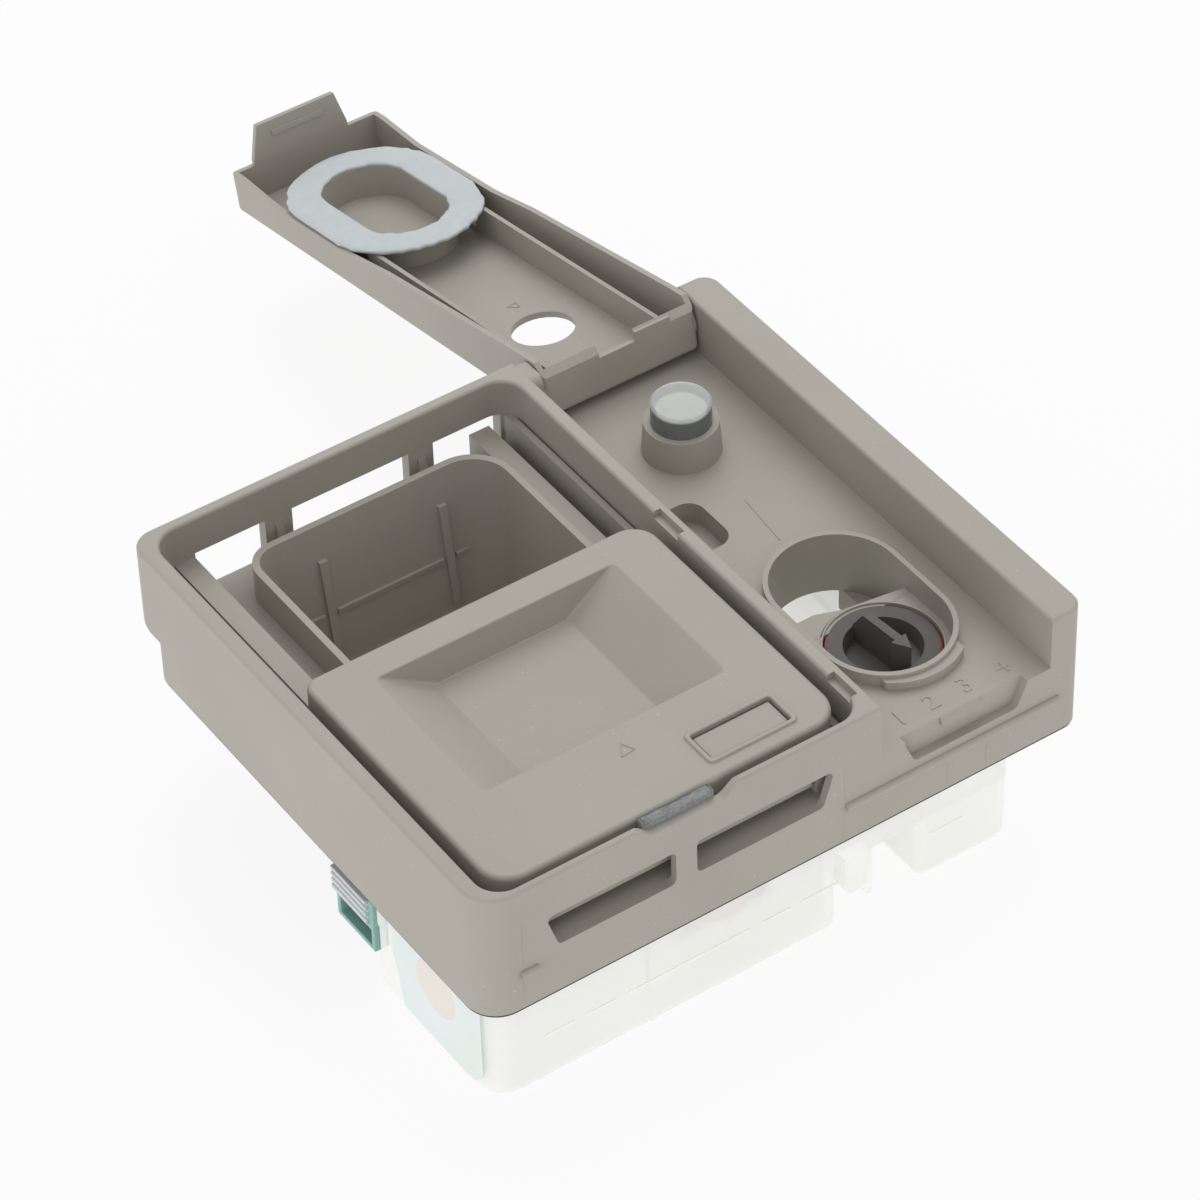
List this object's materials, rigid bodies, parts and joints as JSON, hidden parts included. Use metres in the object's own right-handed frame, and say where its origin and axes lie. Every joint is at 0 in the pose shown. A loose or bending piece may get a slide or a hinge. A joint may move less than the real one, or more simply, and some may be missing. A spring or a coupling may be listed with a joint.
{
  "type": "dishwasher detergent dispenser",
  "caption": "Dishwasher dispenser with a sliding detergent door, an open rinse flap, a dose dial and a milky rear housing.",
  "frame": {"origin": "centre of the rectangular sealing flange, in the plane of its rear face", "axes": "+X to the right seen from the wash side, +Y towards the flap's hinge, +Z out of the door towards the wash side"},
  "size_m": [0.168, 0.2927, 0.0715],
  "materials": {
    "taupe": "satin moulded",
    "milky": "translucent moulded",
    "silicone": "matte silicone",
    "dial_grey": "satin",
    "red_rubber": "matte",
    "black_rubber": "matte",
    "clear": "clear polished",
    "green": "satin",
    "pale_grey": "satin",
    "steel": "zinc plated",
    "brass": "plain",
    "copper": "enamelled wire",
    "white": "satin"
  },
  "bodies": {
    "dispenser": {"front_moulding": "taupe", "front_bumper": "silicone", "sight_glass": "clear", "rear_housing": "milky", "flange_gasket": "black_rubber", "rinse_tank": "milky", "housing_screws": "steel", "connector_shell": "green", "connector_terminals": "brass", "wire_clip": "pale_grey", "solenoid_frame": "steel", "solenoid_bobbin": "white", "coil_winding": "copper", "lever_pivot_pin": "steel", "valve_spring": "steel"},
    "door": {"sliding_door": "taupe", "door_seal": "silicone", "button_spring": "steel"},
    "button": {"latch_button": "taupe"},
    "flap": {"rinse_flap": "taupe", "flap_seal": "silicone"},
    "dial": {"dose_dial": "dial_grey", "dial_o_ring": "red_rubber"},
    "plunger": {"plunger": "steel"},
    "lever": {"release_lever": "white"},
    "valve": {"metering_valve": "white", "valve_washer": "black_rubber"}
  },
  "joints": [
    {"name": "door_slide", "type": "slide", "parent": "dispenser", "child": "door", "axis": [0, 1, 0], "range_m": [0, 0.056]},
    {"name": "button_press", "type": "slide", "parent": "door", "child": "button", "axis": [0, 0, -1], "range_m": [0, 0.0025], "stiffness_N_per_m": 300, "springref_m": -0.0005, "deforming": ["button_spring"]},
    {"name": "flap_hinge", "type": "hinge", "parent": "dispenser", "child": "flap", "pos_m": [0.05, 0.0735, 0.0299], "axis": [1, 0, 0], "range_deg": [0, 191.5]},
    {"name": "dial_turn", "type": "hinge", "parent": "dispenser", "child": "dial", "pos_m": [0.05, -0.0395, 0.0183], "axis": [0, 0, 1], "range_deg": [-34.8, 25.4]},
    {"name": "plunger_pull", "type": "slide", "parent": "dispenser", "child": "plunger", "axis": [0, 0, -1], "range_m": [0, 0.003], "stiffness_N_per_m": 300, "springref_m": -0.001},
    {"name": "lever_tilt", "type": "hinge", "parent": "dispenser", "child": "lever", "pos_m": [0.0334, -0.0115, -0.0053], "axis": [1, 0, 0], "range_deg": [0, 5.6]},
    {"name": "valve_lift", "type": "slide", "parent": "dispenser", "child": "valve", "axis": [0, 0, 1], "range_m": [0, 0.0028], "deforming": ["valve_spring"]}
  ],
  "couplings": [
    {"joint": "lever_tilt", "follows": "plunger_pull", "rad_per_m": 32.258},
    {"joint": "valve_lift", "follows": "plunger_pull", "ratio": 0.90323}
  ]
}
